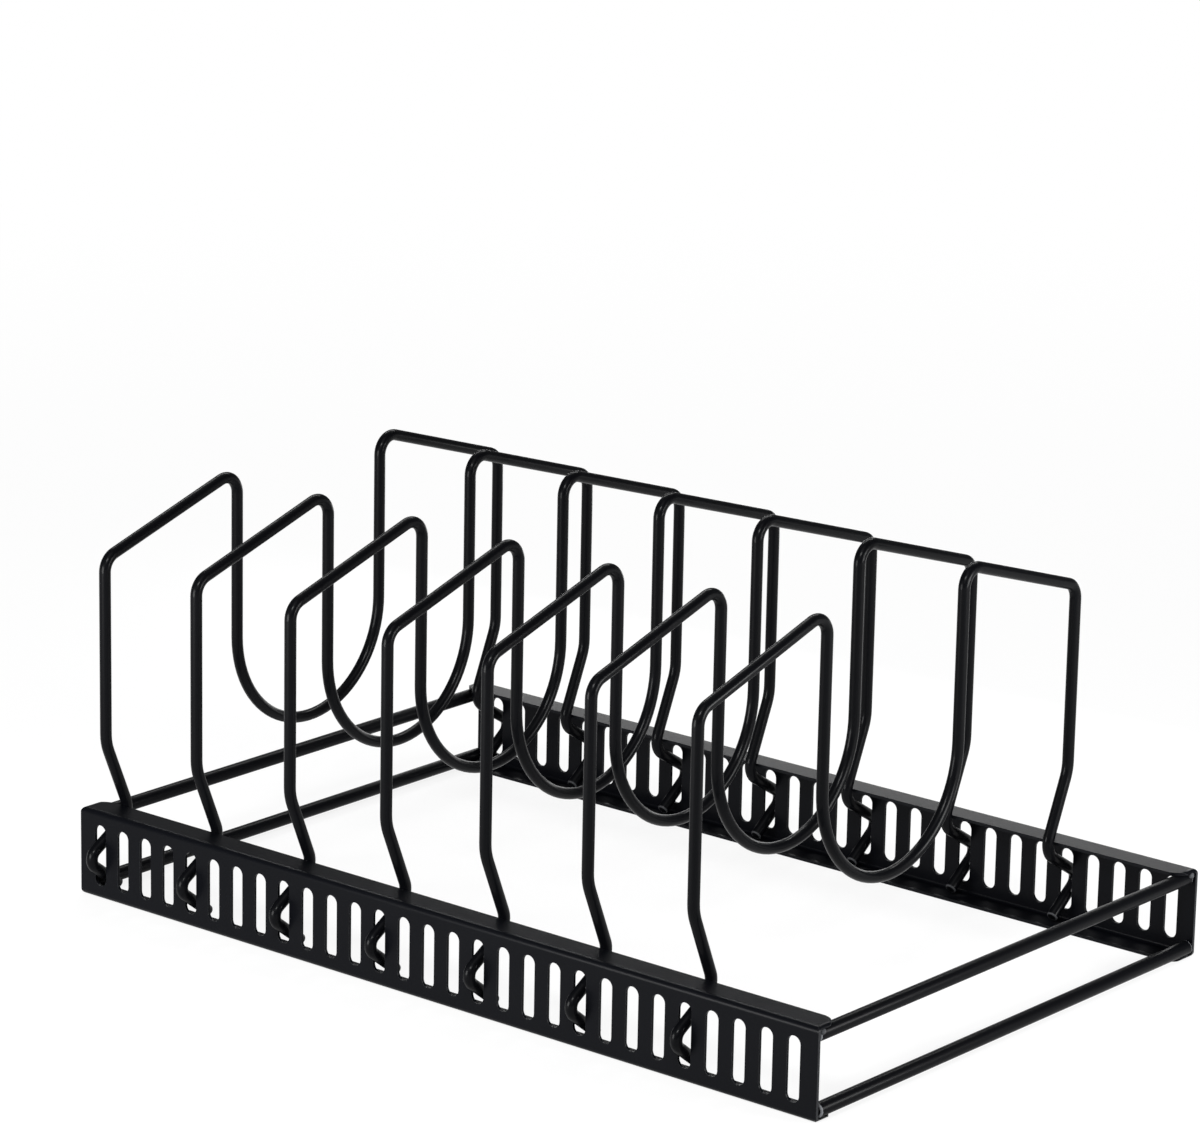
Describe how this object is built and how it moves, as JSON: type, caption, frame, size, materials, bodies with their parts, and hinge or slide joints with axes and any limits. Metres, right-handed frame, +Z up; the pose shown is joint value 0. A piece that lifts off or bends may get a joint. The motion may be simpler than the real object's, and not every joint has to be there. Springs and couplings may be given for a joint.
{
  "type": "pot lid rack",
  "caption": "Low slotted rail frame with bent wire dividers that hold pan lids upright on edge; the dividers clip into the slots, so their spacing can be changed.",
  "frame": {"origin": "centre of the rack's footprint on the surface that it stands on", "axes": "+X along the slotted rails towards the end with the free slots, +Y across the rack from the near rail to the far rail, +Z up"},
  "size_m": [0.3588, 0.2468, 0.1568],
  "materials": {
    "rail_coat": "black powder coat, satin, fine texture",
    "rod_coat": "black powder coat, satin",
    "divider_coat": "black powder coat, smoother satin"
  },
  "bodies": {
    "root": {"rail_near": "rail_coat", "rail_far": "rail_coat", "rod_left_lower": "rod_coat", "rod_left_upper": "rod_coat", "rod_right_lower": "rod_coat", "rod_right_upper": "rod_coat", "divider_1": "divider_coat", "divider_2": "divider_coat", "divider_3": "divider_coat", "divider_4": "divider_coat", "divider_5": "divider_coat", "divider_6": "divider_coat", "divider_7": "divider_coat"}
  },
  "joints": []
}
